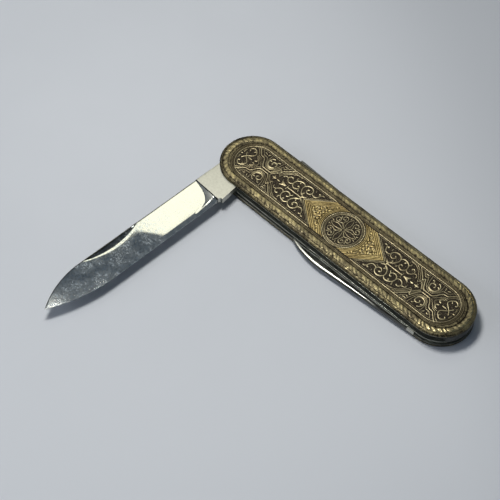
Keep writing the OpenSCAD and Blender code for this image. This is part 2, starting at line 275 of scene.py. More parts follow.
def sanded_metal(name, light, dark, rough, stretch):
    """Metal with sanding lines: a noise that is stretched along the handle by the factor `stretch`."""
    material, tree, shader, point = finish_named(name)
    lines = noise(tree, mapped(tree, point, 0, (1 / stretch, 1, 1)), 5, 4)
    share = remap(tree, calc(tree, "MULTIPLY", lines, noise(tree, point, 0.3, 4)), 0.12, 0.4)
    along = add(tree, "ShaderNodeSeparateXYZ", {0: point}).outputs["X"]
    # Painted shade: the colour darkens towards the end with the pen blade.
    grime_and_shade = remap(tree, along, END_SHADE_STARTS, END_SHADE_FULL, 0, 0.25)
    plug(tree, shader, {
        "Base Color": blend(tree, grime_and_shade, blend(tree, share, dark, light), "#1b1a17"),
        "Normal": bump(tree, lines, 0.15, 0.02),
        "Metallic": 1.0,
        "Roughness": rough,
    })
    return material


plain_nodes = {
    sanded_metal("brass_liner_sanded", "#c0c1b6", "#8b8c84", 0.55, 8):
        ("front_liner", "centre_liner", "rear_liner"),
    # The springs' dark grey is partly their own tone and partly painted shade for the end with the pen blade.
    sanded_metal("spring_steel_satin", "#6e6f6d", "#454644", 0.5, 10):
        ("main_spring", "pen_spring"),
    sanded_metal("brass_rivet_drawn", "#b59a5c", "#7d6a3e", 0.4, 2):
        ("main_pivot_pin", "pen_pivot_pin", "middle_rivet", "front_cover_rivets", "rear_cover_rivets"),
}
for material, names in plain_nodes.items():
    for name in names:
        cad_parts[name].data.materials.clear()
        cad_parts[name].data.materials.append(material)
print("solids that keep their shape:", sum(len(names) for names in plain_nodes.values()))

# %% [markdown]
# ## Helpers for meshes
# Every new piece is a grid of points worked out as whole arrays. One function names the four corners of each
# cell of such a grid, and another puts the points and cells into a mesh, closes seams and poles, and turns the
# faces outwards.


# %% Grids into meshes
def cells(rows, columns, wrap_rows=False, wrap_columns=False):
    """Corner numbers of a grid's cells: point (i, j) has number i * columns + j; a wrapped side joins its end."""
    i = np.arange(rows if wrap_rows else rows - 1)[:, None]
    j = np.arange(columns if wrap_columns else columns - 1)[None, :]
    i2, j2 = (i + 1) % rows, (j + 1) % columns
    corners = np.stack([i * columns + j, i2 * columns + j, i2 * columns + j2, i * columns + j2], axis=-1)
    return corners.reshape(-1, 4)


def piece(name, points, quads, material, slot, sharp=35, values=None):
    """A mesh piece from points in mm and four-cornered cells, closed and turned outwards."""
    mesh = bpy.data.meshes.new(name)
    mesh.vertices.add(len(points))
    mesh.vertices.foreach_set("co", (np.asarray(points) * MM).ravel().astype(np.float32))
    mesh.loops.add(quads.size)
    mesh.loops.foreach_set("vertex_index", quads.ravel().astype(np.int32))
    mesh.polygons.add(len(quads))
    mesh.polygons.foreach_set("loop_start", np.arange(0, quads.size, 4, dtype=np.int32))
    mesh.update(calc_edges=True)
    for key, value in (values or {}).items():
        layer = mesh.attributes.new(key, "FLOAT", "POINT")
        layer.data.foreach_set("value", np.asarray(value, np.float32).ravel())
    closed = bmesh.new()
    closed.from_mesh(mesh)
    bmesh.ops.remove_doubles(closed, verts=closed.verts, dist=1e-7)
    bmesh.ops.dissolve_degenerate(closed, edges=closed.edges, dist=1e-8)
    bmesh.ops.recalc_face_normals(closed, faces=closed.faces)
    closed.to_mesh(mesh)
    closed.free()
    mesh.polygons.foreach_set("use_smooth", np.ones(len(mesh.polygons), bool))
    mesh.set_sharp_from_angle(angle=math.radians(sharp))
    mesh.materials.append(material)
    made = bpy.data.objects.new(name, mesh)
    bpy.context.scene.collection.objects.link(made)
    return made


def turned_grid(profile, count):
    """Turned shape: a profile of radius and height carried round the z axis in `count` steps."""
    profile = np.array(profile)
    angle = np.linspace(0, 2 * math.pi, count, endpoint=False)
    points = np.stack([np.outer(np.cos(angle), profile[:, 0]), np.outer(np.sin(angle), profile[:, 0]),
                       np.broadcast_to(profile[:, 1], (count, len(profile)))], -1)
    return points.reshape(-1, 3), cells(count, len(profile), wrap_rows=True)


print("cells of a grid of 4 by 3 points:", len(cells(4, 3)))

# %% [markdown]
# ## The covers
# Each cover is a shallow tray with a rope border on its rounded rim. A modeller could bend a rope along a curve,
# but the stamped border is one piece with the tray, so one grid gives both: a section is carried round the plan of
# the handle, and the strands of the rope are a ripple in its height. Handling has worn the rope unevenly: it is
# fresh and deep round the end with the pen blade, and low along the far side.

# %% Sizes of the handle
HANDLE_LEN, HANDLE_W = 86.8, 18.7
COVER_T, COVER_EDGE, CROWN_W, FLOOR_T = 0.9, 0.45, 1.9, 0.34
PANEL_LEN, PANEL_W, INLAY_GAP = 80.3, 13.7, 0.03
FRONT_Z = 5.1
STRAIGHT, HALF_W = (HANDLE_LEN - HANDLE_W) / 2, HANDLE_W / 2
PANEL_STRAIGHT, PANEL_HALF = (PANEL_LEN - PANEL_W) / 2, PANEL_W / 2
ROPE_IN, ROPE_OUT, ROPE_PITCH, ROPE_DEPTH = 6.97, 8.6, 1.47, 0.12
ROPE_MID, ROPE_HALF = (ROPE_IN + ROPE_OUT) / 2, (ROPE_OUT - ROPE_IN) / 2


def plan_stations(straight, radius, step):
    """Stations round a plan with two half-round ends, even along the line `radius` from its middle line.
    Gives for each the point on the middle line, the outward direction and the length walked."""
    side, bend = 2 * straight, math.pi * radius
    count = 2 * round((side + bend) / step)
    walk = np.arange(count) * 2 * (side + bend) / count
    half = walk % (side + bend)
    sign = np.where(walk < side + bend, 1, -1)
    angle = np.minimum(half / radius, math.pi) - math.pi / 2
    along = np.where(half > bend, straight - (half - bend), straight)
    base = np.stack([sign * along, 0 * along], -1)
    out = np.stack([sign * np.cos(angle), sign * np.sin(angle)], -1)
    return base, out, walk


def crown(offset):
    """Height of the plain rim: flat, then falling to the edge ever more steeply, as a power of the way out."""
    beyond = np.clip((offset - (HALF_W - CROWN_W)) / CROWN_W, 0, 1)
    return COVER_T - (COVER_T - COVER_EDGE) * beyond ** 3.2


def panel_reach(base, out):
    """Distance from the middle line to the panel's outline, along each outward direction."""
    shift = np.abs(base[:, 0]) - PANEL_STRAIGHT
    across = np.abs(out[:, 0])
    past = np.maximum(shift, 0)
    return -past * across + np.sqrt(PANEL_HALF ** 2 - (past * out[:, 1]) ** 2)


def round_plan(base, out, offset, height):
    """A section carried round a plan: at each station its points lie `offset` outwards and `height` up."""
    points = base[:, None, :] + out[:, None, :] * offset[..., None]
    height = np.broadcast_to(height, points.shape[:2])
    return np.concatenate([points, height[..., None]], -1).reshape(-1, 3)


print("handle:", HANDLE_LEN, "by", HANDLE_W, "panel:", PANEL_LEN, "by", PANEL_W)

# %% The rope and its dirt
FAR_WAY = np.array([[0.64], [0.77]])
FRESH_FROM, FRESH_RUN, FRESH_TURN = 28, 10, 7.8
STRAND_SLANT = 0.42


def rim_places(base, out):
    """How far each station faces the near side, faces the far side, and lies at the fresh end: each from 0 to 1."""
    near, far = np.clip(-out[:, 1:], 0, 1), np.clip(out @ FAR_WAY, 0, 1)
    return near, far, np.clip((base[:, :1] + FRESH_TURN * out[:, :1] - FRESH_FROM) / FRESH_RUN, 0, 1)


def rope_height(walk, band, far, fresh):
    """Rope from 0 in a valley to 1 on a crest: an arch across its band times a row of slanted strands, each with
    three wires. Slow waves round the plan space the strands unevenly and wear some of them down."""
    strands = round(walk[-1] / ROPE_PITCH)
    across = (band - ROPE_MID) / ROPE_HALF
    lap = walk[:, None] / (walk[-1] + walk[1])
    round_once = 2 * math.pi * lap

    def wave(count, shift=0):
        return np.sin(count * round_once + shift)

    turn = lap * strands + 0.17 * wave(31) + 0.12 * wave(53, 1) - STRAND_SLANT * across
    strand = 1 - np.abs(2 * (turn % 1) - 1) ** 1.7
    wires = 1 - np.abs(2 * (3 * turn % 1) - 1) ** 2
    strand = 0.8 * strand + 0.2 * wires
    wear = 0.75 + 0.12 * wave(17, 1) + 0.12 * wave(5) * wave(67)
    wear = wear * (0.88 + 0.12 * fresh) * (1 - 0.35 * far)
    arch = np.sqrt(np.clip(1 - across ** 4, 0, 1))
    print("rope strands:", strands)
    return arch * (0.1 + 0.9 * (1 - wear + wear * strand))


def rope_dirt_and_shade(band, rope, out, near, far, fresh):
    """Dirt and painted shade on the rope, 0 on clean metal: dirt most in its valleys, more on the outer half of the
    near side and round the end with the main blade. The far side's inner half is darker, painted shade, and its
    outer half a little lighter, painted light."""
    outer, inner = np.clip((band - 7.6) / 0.6, 0, 1), np.clip((7.7 - band) / 0.7, 0, 1)
    grime_and_shade = 0.3 * near * outer * (1 - 0.4 * fresh) + 0.12 * np.clip(-out[:, :1], 0, 1)
    # Painted shade on the far side's inner half and painted light on its outer half.
    grime_and_shade = grime_and_shade + far * (0.6 * (1 - 0.8 * fresh) * inner - 0.2 * outer) + 0.2 * fresh * (inner - outer)
    return 0.14 + grime_and_shade + 0.1 * far + 0.68 * (1 - rope) ** 0.8


print("rope from", ROPE_IN, "to", ROPE_OUT, "off the middle line, a strand every", ROPE_PITCH)


# %% Points of a cover
def cover_grid():
    """Rows run from the tray's floor over its wall, the rope and the rim to the underside. The rope is cut into the
    plain rim: its height is the crown less the rope's depth times (1 minus the rope)."""
    base, out, walk = plan_stations(STRAIGHT, ROPE_MID, 0.09)
    near, far, fresh = rim_places(base, out)
    inner = panel_reach(base, out)[:, None]
    band = np.linspace(ROPE_IN, ROPE_OUT, 15)[None, :]
    rim = np.linspace(ROPE_OUT + 0.08, HALF_W - 0.04, 6)[None, :]
    rope = rope_height(walk, band, far, fresh)
    depth = ROPE_DEPTH * (0.85 + 0.9 * fresh) * (1 - 0.4 * far)
    one = np.ones_like(inner)
    offset = np.hstack([0 * one, inner, inner, (inner + ROPE_IN) / 2, one * band, one * rim, one * HALF_W,
                        one * HALF_W, 0 * one])
    height = np.hstack([one * FLOOR_T, one * FLOOR_T, one * (COVER_T - 0.05), one * (COVER_T - 0.03),
                        crown(band) - depth * (1 - rope), one * crown(rim), one * (COVER_EDGE - 0.04), 0 * one,
                        0 * one])
    # Painted light: the plain rim is lighter on the far side. The rope's values also hold painted shade.
    dirt_and_shade = np.hstack([one, one, one * 0.8, one * 0.7, rope_dirt_and_shade(band, rope, out, near, far, fresh),
                      np.linspace(0.6, 0.9, 6)[None, :] - 0.4 * far, one * 0.75, one * 0.75, one])
    return round_plan(base, out, offset, height), cells(*offset.shape, wrap_rows=True), dirt_and_shade


def on_front(points):
    """A cover's piece is drawn from the liner outwards; on the front it is lifted to the front liner."""
    return points + np.array([0, 0, FRONT_Z])


def on_rear(points):
    """On the rear the same piece is turned half round about the handle's length."""
    return points * np.array([1, -1, -1]) + np.array([0, 0, COVER_T])


SIDES = {"front": on_front, "rear": on_rear}


def both_covers(name, points, quads, material, slot, node=None, **more):
    """Makes a piece on the front and the rear cover, riding on the handle, in place of `node` if one is named."""
    for side, place in SIDES.items():
        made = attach(piece(f"{side}_{name}", place(points), quads, material, slot, **more), "handle")
        if node:
            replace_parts(made, f"{side}_{node}")


points, quads, dirt_and_shade = cover_grid()
both_covers("rope_rim", points, quads, rim_gilt, "gilt_brass", "cover", values={"hollow_and_shade": dirt_and_shade})
print("cover cells:", len(quads))

# %% [markdown]
# ## The dark panels
# The panel is a flat plate that lies a little below the rim. Its face is lower than the crests of the scrollwork,
# so the gold stands up from it as in the photograph. It is the same section carried round a plan as for the cover.

# %% Panel plates
GROUND, CREST = 0.73, 0.87
LOW_CREST, TALL_CREST = 0.84, 0.9


def plate_grid(straight, half, low, high, step, bevel=0.04):
    """A flat plate with half-round ends: rows from the middle line over the top edge to the underside."""
    base, out, _ = plan_stations(straight, half, step)
    offset = np.array([[0, half * 0.5, half - bevel, half, half, 0]])
    height = np.array([[high, high, high, high - bevel, low, low]])
    return round_plan(base, out, offset, height), cells(len(base), offset.size, wrap_rows=True)


points, quads = plate_grid(PANEL_STRAIGHT, PANEL_HALF - INLAY_GAP, FLOOR_T, GROUND, 0.6)
both_covers("panel_ground", points, quads, ground_black, "blackened_steel", "panel")
print("panel cells:", len(quads))

# %% [markdown]
# ## Lines of gold
# All the scrollwork is made of one kind of thing: a low band of gold along a curve, wider in places and round at
# its ends. On the real one it is wire that was hammered into the crossed cuts. A stroke is a short list of points,
# each with its place and its width in millimetres. The curve through them is a Catmull-Rom spline, and a
# low arched profile is carried along it.

# %% Strokes
PROFILE = np.array([[-0.5, -0.6], [-0.5, 0.45], [-0.3, 0.88], [0, 1], [0.3, 0.88], [0.5, 0.45], [0.5, -0.6]])


def curve_through(knots, smooth=True, part=24):
    """Catmull-Rom curve through the knots: on each stretch a cubic of the four knots around it."""
    if not smooth:
        return knots
    ends = np.vstack([2 * knots[0] - knots[1], knots, 2 * knots[-1] - knots[-2]])
    a, b, c, d = ends[:-3], ends[1:-2], ends[2:-1], ends[3:]
    t = np.linspace(0, 1, part, endpoint=False)[:, None, None]
    cubic = b + 0.5 * t * (c - a + t * (2 * a - 5 * b + 4 * c - d + t * (3 * (b - c) + d - a)))
    return np.vstack([cubic.transpose(1, 0, 2).reshape(-1, knots.shape[1]), knots[-1:]])


def stroke_band(knots, smooth=True, step=0.14, crest=CREST, age=0.0):
    """One closed band: the curve is walked in even steps, and each end is rounded like half a circle."""
    path = curve_through(np.array(knots, float), smooth)
    walked = np.concatenate([[0], np.cumsum(np.hypot(*np.diff(path[:, :2], axis=0).T))])
    length = walked[-1]
    cap = np.array([0, 0.03, 0.1, 0.2]) * min(1, length / 2)
    even = np.linspace(cap[-1], length - cap[-1], max(4, int(length / step)))
    at = np.concatenate([cap[:-1], even, length - cap[-2::-1]])
    x, y, width = (np.interp(at, walked, path[:, k]) for k in range(3))
    heading = np.arctan2(np.gradient(y, at), np.gradient(x, at))
    near = np.minimum(at, length - at) / np.maximum(width / 2, 1e-6)
    round_end = np.sqrt(np.clip(1 - (1 - np.minimum(near, 1)) ** 2, 0, 1))
    side = PROFILE[None, :, 0] * (width * round_end)[:, None]
    rise = np.where(PROFILE[None, :, 1] > 0, crest - GROUND, 0.1) * PROFILE[None, :, 1] * round_end[:, None] ** 0.5
    points = np.stack([x[:, None] - np.sin(heading)[:, None] * side,
                       y[:, None] + np.cos(heading)[:, None] * side, GROUND + rise], -1)
    hollow_and_shade = np.broadcast_to(age + (1 - age) * np.clip(0.75 - PROFILE[None, :, 1], 0, 0.75), side.shape)
    return points.reshape(-1, 3), cells(len(at), len(PROFILE), wrap_columns=True), hollow_and_shade.ravel()


print("points across a stroke:", len(PROFILE))


# %% Groups of strokes
def joined(bands, flips):
    """Joins bands into one set of points and cells, once for each pair of signs in flips, which mirror x and y."""
    points, quads, hollows, start = [], [], [], 0
    for band_points, band_quads, band_hollow in bands:
        for flip in flips:
            points.append(band_points * np.array([*flip, 1]))
            quads.append(band_quads + start)
            hollows.append(band_hollow)
            start += len(band_points)
    return np.vstack(points), np.vstack(quads), np.concatenate(hollows)


def gold_lines(name, groups):
    """Puts groups of strokes on both covers: a group is a list of bands and the ways in which it is mirrored."""
    parts = [joined(bands, flips) for bands, flips in groups]
    starts = np.cumsum([0] + [len(part[0]) for part in parts[:-1]])
    points = np.vstack([part[0] for part in parts])
    quads = np.vstack([part[1] + start for part, start in zip(parts, starts)])
    hollow_and_shade = np.concatenate([part[2] for part in parts])
    both_covers(name, points, quads, wire_gold, "gold_leaf", sharp=50, values={"hollow_and_shade": hollow_and_shade})
    print(name, "cells:", len(quads))


FOUR_WAYS = [(1, 1), (1, -1), (-1, 1), (-1, -1)]
TWO_ENDS = [(1, 1), (-1, 1)]
print("ways to mirror a group:", len(FOUR_WAYS), "or", len(TWO_ENDS))

# %% [markdown]
# ## The scrollwork of the fields
# The pattern is a common arabesque of spirals, buds and leaves. It is the same in all four quarters of a cover, so
# it is drawn once, for the quarter with x and y above zero, and mirrored. What lies on the middle line is mirrored
# end to end only.

# %% Spirals and leaves
FIELD_SCROLLS = [
    [(15.5, 0.35, 0.26), (15.9, 0.85, 0.42), (16.4, 1.05, 0.46), (16.95, 1.55, 0.36), (17.35, 2.3, 0.32),
     (17.5, 3.0, 0.32), (17.3, 3.7, 0.34), (16.75, 4.25, 0.36), (15.85, 4.55, 0.36), (14.95, 4.3, 0.36),
     (14.4, 3.6, 0.36), (14.4, 2.9, 0.36), (14.85, 2.35, 0.34), (15.45, 2.25, 0.32), (15.95, 2.6, 0.32),
     (16.05, 3.05, 0.34), (15.8, 3.35, 0.44), (15.5, 3.25, 0.52)],
    [(16.3, 1.1, 0.4), (16.15, 1.55, 0.46), (15.95, 1.95, 0.24)],
    [(15.9, 0.2, 0.3), (15.3, 0.5, 0.48), (14.9, 0.8, 0.36), (14.45, 1.2, 0.12)],
    [(14.35, 3.05, 0.26), (13.8, 2.75, 0.3), (13.2, 2.6, 0.32), (12.6, 2.9, 0.32), (12.25, 3.5, 0.3),
     (12.1, 4.0, 0.3), (12.35, 4.35, 0.36), (12.8, 4.2, 0.54)],
    [(12.15, 3.9, 0.2), (11.8, 4.4, 0.24), (11.4, 4.65, 0.28), (11.0, 4.45, 0.46)],
    [(13.8, 4.05, 0.2), (13.9, 4.7, 0.3)],
    [(14.0, 2.25, 0.18), (14.2, 2.0, 0.24)],
    [(17.35, 3.45, 0.26), (17.7, 3.9, 0.34), (18.2, 4.2, 0.38), (18.8, 4.2, 0.4), (19.5, 4.0, 0.38),
     (20.15, 3.5, 0.36), (20.45, 2.8, 0.34), (20.5, 2.1, 0.34), (20.2, 1.5, 0.34), (19.55, 1.05, 0.34),
     (18.85, 1.15, 0.32), (18.35, 1.55, 0.32), (18.3, 2.1, 0.32), (18.65, 2.4, 0.38), (19.05, 2.2, 0.52)],
    [(19.2, 4.05, 0.3), (19.15, 3.65, 0.36), (18.8, 3.3, 0.5)],
    [(20.25, 3.45, 0.3), (20.6, 3.95, 0.32), (20.55, 4.45, 0.44)],
    [(18.35, 1.6, 0.26), (17.95, 1.3, 0.28), (17.7, 0.9, 0.46)],
    [(20.5, 2.2, 0.26), (20.75, 1.75, 0.32), (21.25, 1.5, 0.34), (21.85, 1.55, 0.34), (22.5, 2.05, 0.34),
     (22.75, 2.65, 0.32), (22.5, 3.25, 0.32), (22.05, 3.5, 0.34), (21.65, 3.4, 0.4), (21.65, 3.05, 0.54)],
    [(22.75, 2.5, 0.2), (23.1, 2.6, 0.26), (23.55, 2.6, 0.28), (23.9, 2.3, 0.3), (23.85, 1.8, 0.5)],
    [(21.3, 0.05, 0.24), (22.3, 0.22, 0.46), (22.9, 0.5, 0.42), (23.25, 0.95, 0.14)],
    [(25.5, 0.1, 0.3), (25.75, 0.4, 0.38), (25.75, 0.8, 0.14)],
]
POCKET_SCROLLS = [
    [(28.1, 2.5, 0.3), (28.45, 1.95, 0.44), (29.3, 1.7, 0.44), (30.1, 1.95, 0.44), (30.6, 2.6, 0.4),
     (30.75, 3.4, 0.36), (30.55, 4.1, 0.34), (30.1, 4.5, 0.34), (29.6, 4.7, 0.42)],
    [(28.15, 2.55, 0.3), (28.0, 3.1, 0.32), (28.25, 3.65, 0.36), (28.8, 3.85, 0.36), (29.35, 3.6, 0.34),
     (29.5, 3.1, 0.36), (29.15, 2.8, 0.48)],
    [(28.35, 3.7, 0.26), (28.35, 4.2, 0.3), (28.05, 4.6, 0.32), (27.7, 4.4, 0.46)],
    [(30.65, 3.3, 0.3), (30.35, 3.55, 0.42), (29.95, 3.55, 0.22)],
    [(32.15, 4.2, 0.2), (32.0, 4.6, 0.36), (31.75, 5.0, 0.3)],
    [(32.7, 4.4, 0.2), (33.1, 4.65, 0.3), (33.6, 4.75, 0.2)],
    [(25.0, 4.95, 0.16), (25.6, 4.8, 0.3), (26.4, 4.95, 0.16)],
]
END_SCROLLS = [
    [(34.0, 1.7, 0.3), (33.4, 1.5, 0.36), (33.05, 0.95, 0.36), (33.25, 0.5, 0.38), (33.85, 0.45, 0.52)],
    [(36.65, 0.05, 0.3), (35.9, 0.7, 0.32), (35.15, 1.35, 0.32), (34.85, 1.9, 0.34), (35.1, 2.6, 0.36),
     (35.7, 3.2, 0.38), (36.4, 3.5, 0.38), (37.1, 3.15, 0.36), (37.4, 2.6, 0.36), (37.0, 2.05, 0.52)],
    [(35.4, 2.9, 0.26), (35.75, 2.6, 0.32), (35.95, 2.3, 0.44)],
    [(36.65, 0, 0.3), (37.1, 0.6, 0.36), (37.45, 1.25, 0.46)],
    [(37.9, 1.9, 0.2), (38.2, 1.2, 0.3), (38.1, 0.6, 0.16)],
]
MIDDLE_LINE = [
    [(15.3, 0, 0.4), (17, 0, 0.3), (18.4, 0, 0.34), (18.7, 0, 0.46), (19.0, 0, 0.34), (20.9, 0, 0.28)],
    [(20.8, -0.9, 0.2), (20.8, 0, 0.3), (20.8, 0.9, 0.2)],
    [(21.5, 0, 0.3), (22.4, 0, 0.6), (22.95, 0, 0.5)],
    [(23.55, 0, 0.16), (24.2, 0, 0.52), (24.75, 0, 0.3)],
    [(24.95, 0, 0.2), (25.7, 0, 0.62), (26.5, 0, 0.14)],
    [(34.4, 0, 0.26), (35.2, 0, 0.36), (36.0, 0, 0.18)],
    [(37.9, 0, 0.2), (38.35, 0, 0.46), (38.7, 0, 0.16)],
]
quarter = [stroke_band(knots) for knots in FIELD_SCROLLS + POCKET_SCROLLS + END_SCROLLS]
middle = [stroke_band(knots) for knots in MIDDLE_LINE]
gold_lines("scrollwork", [(quarter, FOUR_WAYS), (middle, TWO_ENDS)])

# %% [markdown]
# ## Straps and border lines
# Straps divide each half of a cover into a large field, two side pockets and an end pocket. Thin lines run beside
# them, and four lines follow the edge of the panel; the outer two are old and dark. A strap is a stroke with
# straight stretches. A border is given by its distance from the middle line, its start in x, its width and its
# age, from 0, bright, to 1, dirty.

# %% Straps and borders
STRAP_W, THIN_W, THIN_CREST = 0.34, 0.17, 0.82
STRAP = [(22.65, 5.75), (25.25, 3.15), (25.5, 2.6), (26.15, 3.35), (26.5, 2.55), (27.3, 1.05), (27.9, 0.42),
         (30.6, 0.42), (31.4, 1.3), (32.0, 2.45), (32.5, 3.0), (33.8, 3.15), (34.4, 3.8), (35.3, 4.7), (36.1, 5.3)]
THIN_LINES = [
    [(19.8, 5.2), (21.5, 5.0), (22.7, 4.3), (23.9, 3.1), (24.6, 2.2), (24.95, 1.35), (25.7, 1.95), (26.4, 1.3),
     (27.3, 0.05)],
    [(21.6, 5.4), (22.9, 4.75), (24.3, 3.35), (24.9, 2.55), (25.2, 1.95), (25.85, 2.6), (26.9, 0.9), (27.5, 0.25)],
    [(24.1, 5.4), (25.65, 3.9), (26.3, 4.4), (26.8, 3.2), (27.4, 1.95), (28.4, 1.15), (29.3, 0.95), (30.2, 1.15),
     (30.95, 1.95), (31.45, 3.0), (31.95, 3.65), (33.2, 3.8), (33.9, 4.4), (34.6, 5.3)],
    [(27.0, 5.2), (27.25, 3.6), (27.75, 2.2), (28.6, 1.45), (29.3, 1.3), (30.2, 1.5), (30.9, 2.3), (31.2, 3.4),
     (31.15, 5.2)],
    [(31.0, 0.05), (32.5, 1.6), (33.2, 2.4), (34.2, 2.6), (34.7, 3.3), (35.6, 4.2), (36.7, 4.75)],
    [(32.0, 0.05), (32.75, 0.9), (32.9, 1.6), (33.6, 2.1), (34.5, 2.1)],
]
BORDER_CENTRE = 33.2
BORDERS = [(5.85, 7.5, 0.26, 0.0), (5.36, 8.4, 0.12, 0.2), (6.25, -0.1, 0.24, 0.72), (6.62, -0.1, 0.28, 0.68)]


def with_width(points, width):
    """Gives every point of a line the same width."""
    return [(x, y, width) for x, y in points]


def border_line(offset, start, width, age):
    """Line at `offset` from the middle line, from x = start round the end of the panel and back: two straight
    stretches and half a circle about BORDER_CENTRE."""
    angle = np.radians(np.linspace(90, -90, 60))
    bend = np.stack([BORDER_CENTRE + offset * np.cos(angle), offset * np.sin(angle)], -1)
    path = np.vstack([[start, offset], bend, [start, -offset]])
    return stroke_band(np.column_stack([path, np.full(len(path), width)]), smooth=False, step=0.3, age=age)


straps = [stroke_band(with_width(STRAP, STRAP_W), smooth=False)]
thin = [stroke_band(with_width(line, THIN_W), smooth=False, crest=THIN_CREST) for line in THIN_LINES]
borders = [border_line(*border) for border in BORDERS]
gold_lines("straps", [(straps + thin, FOUR_WAYS), (borders, TWO_ENDS)])

# %% [markdown]
# ## The lozenge
# Beside the medallion lie two wings of gold leaf, engraved with rings, with lines along their edges and with fine
# leaves. One grid runs from the medallion out to the edge of the wing. Its height is cut along each engraved line,
# so the lines are real grooves and not paint.

# %% Plan and engraving of a wing
LOZENGE_TIP, LOZENGE_SIDE, LOZENGE_HALF, MEDALLION_R = 14.25, 7.2, 5.7, 6.2
WING_IN, WING_FOOT = MEDALLION_R + 0.03, GROUND - 0.08
GROOVE_W, GROOVE_DEPTH, DEEPEST = 0.26, 0.1, 0.12
RING_LINES, EDGE_LINES = (6.5, 6.95), (0.4, 0.85, 1.35)
FIELD_EDGE, FIELD_RING, FIELD_FADE, LEAF_DEPTH = 1.5, 7.15, 0.15, 0.11
CORNER_SHARES = (0, 0.24, 0.5, 0.76, 1)


def cut(distance, width, depth):
    """Round-bottomed groove: full depth on its line, nothing beyond its width."""
    return depth * np.clip(1 - (distance / (width / 2)) ** 2, 0, 1)


def wing_plan():
    """Ruled grid in plan: each point lies `across` of the way from the medallion's circle to the wing's outline."""
    reach = math.degrees(math.asin(LOZENGE_HALF / WING_IN))
    angle = np.radians(np.linspace(-reach, reach, 181))
    inner = WING_IN * np.stack([np.cos(angle), np.sin(angle)], -1)
    corners = np.array([[inner[0, 0], -LOZENGE_HALF], [LOZENGE_SIDE, -LOZENGE_HALF], [LOZENGE_TIP, 0],
                        [LOZENGE_SIDE, LOZENGE_HALF], [inner[0, 0], LOZENGE_HALF]])
    share = np.linspace(0, 1, len(angle))
    outer = np.stack([np.interp(share, CORNER_SHARES, corners[:, k]) for k in range(2)], -1)
    across = np.concatenate([[0], np.linspace(0, 1, 76), [1]])[None, :, None]
    return inner[:, None, :] * (1 - across) + outer[:, None, :] * across


def engraving(x, y):
    """Depth of the cuts: grooves along rings about the medallion and along the slanting edges, and in the field
    between them leaves, which are two crossing waves that bend each other."""
    ring = np.hypot(x, y)
    slope = np.array([LOZENGE_HALF, LOZENGE_TIP - LOZENGE_SIDE])
    slope = slope / np.hypot(*slope)
    edge = slope[0] * LOZENGE_TIP - slope[0] * x - slope[1] * y
    engraved = sum(cut(ring - at, GROOVE_W, GROOVE_DEPTH) for at in RING_LINES)
    engraved = engraved + sum(cut(edge - at, GROOVE_W, GROOVE_DEPTH) for at in EDGE_LINES)
    field = np.clip((edge - FIELD_EDGE) / FIELD_FADE, 0, 1) * np.clip((ring - FIELD_RING) / FIELD_FADE, 0, 1)
    leaves = np.abs(np.sin(3.6 * x + 1.6 * np.sin(2.3 * y))) * np.abs(np.cos(2.9 * y + 1.2 * np.sin(2.6 * x)))
    engraved += field * LEAF_DEPTH * np.clip(1.15 - 1.9 * leaves, 0, 1)
    return np.minimum(engraved, DEEPEST)


print("points of a wing's face:", wing_plan().shape[:2])


# %% Wings of gold
def wing_grid():
    """One wing: its engraved face, and its underside folded below. Also gives how hollow each point is."""
    plan = wing_plan()
    engraved = engraving(plan[..., 0], np.abs(plan[..., 1]))
    height = COVER_T - 0.01 - engraved
    height[:, 0], height[:, -1] = WING_FOOT, WING_FOOT
    points = np.concatenate([plan, height[..., None]], -1)
    under = points.copy()
    under[..., 2] = WING_FOOT
    whole = np.concatenate([points, under[:, ::-1]], 1)
    hollow_and_shade = np.concatenate([engraved, 0 * engraved], 1) / DEEPEST
    return whole.reshape(-1, 3), whole.shape[:2], hollow_and_shade


def end_cells(rows, columns):
    """Closes the two ends of a folded grid: point k of the top row is joined to point columns - 1 - k below it."""
    k = np.arange(columns // 2 - 1)
    first = np.stack([k, k + 1, columns - 2 - k, columns - 1 - k], -1)
    return np.vstack([first, first + (rows - 1) * columns])


points, shape, hollow_and_shade = wing_grid()
wing = np.vstack([cells(*shape, wrap_columns=True), end_cells(*shape)])
both = np.vstack([points, points * np.array([-1, 1, 1])])
both_covers("lozenge_wings", both, np.vstack([wing, wing + len(points)]), leaf_gold, "gold_leaf", "lozenge",
            values={"hollow_and_shade": np.concatenate([hollow_and_shade.ravel()] * 2)})
print("cells of a wing:", len(wing))

# %% Lines beside and on the wings
LOZENGE_LINES = [with_width([(8.0, 5.3), (14.75, 0.04)], 0.22), with_width([(8.9, 5.1), (15.15, 0.22)], 0.13)]
WING_LEAVES = [
    [(7.9, 0.1, 0.16), (8.3, 0.9, 0.2), (8.1, 1.7, 0.2), (8.6, 2.3, 0.2), (9.1, 1.9, 0.28)],
    [(9.2, 0.1, 0.16), (9.6, 0.8, 0.2), (10.3, 0.9, 0.2), (10.4, 0.4, 0.28)],
    [(7.2, 2.6, 0.14), (7.4, 3.2, 0.2), (7.0, 3.8, 0.18)],
]
lozenge_lines = [stroke_band(line, smooth=False, crest=LOW_CREST) for line in LOZENGE_LINES]
leaves = [stroke_band(knots, crest=TALL_CREST) for knots in WING_LEAVES]
gold_lines("lozenge_lines", [(lozenge_lines + leaves, FOUR_WAYS)])

# %% [markdown]
# ## The medallion
# A dark disc with a rosette of spirals and buds, inside a beaded ring. The disc is a turned shape, the rosette uses
# the same strokes as the fields, and the rings are strokes along circles. A quarter of the rosette is nearly the
# same on both sides of its diagonal, so most strokes are drawn once and mirrored there.

# %% Medallion and rosette
DISC_FACE, DISC_FOOT = GROUND + 0.02, 0.54
DISC = [[0, DISC_FACE], [2.5, DISC_FACE], [5.1, DISC_FACE], [6.13, DISC_FACE], [6.17, DISC_FACE - 0.04],
        [6.17, DISC_FOOT], [0, DISC_FOOT]]


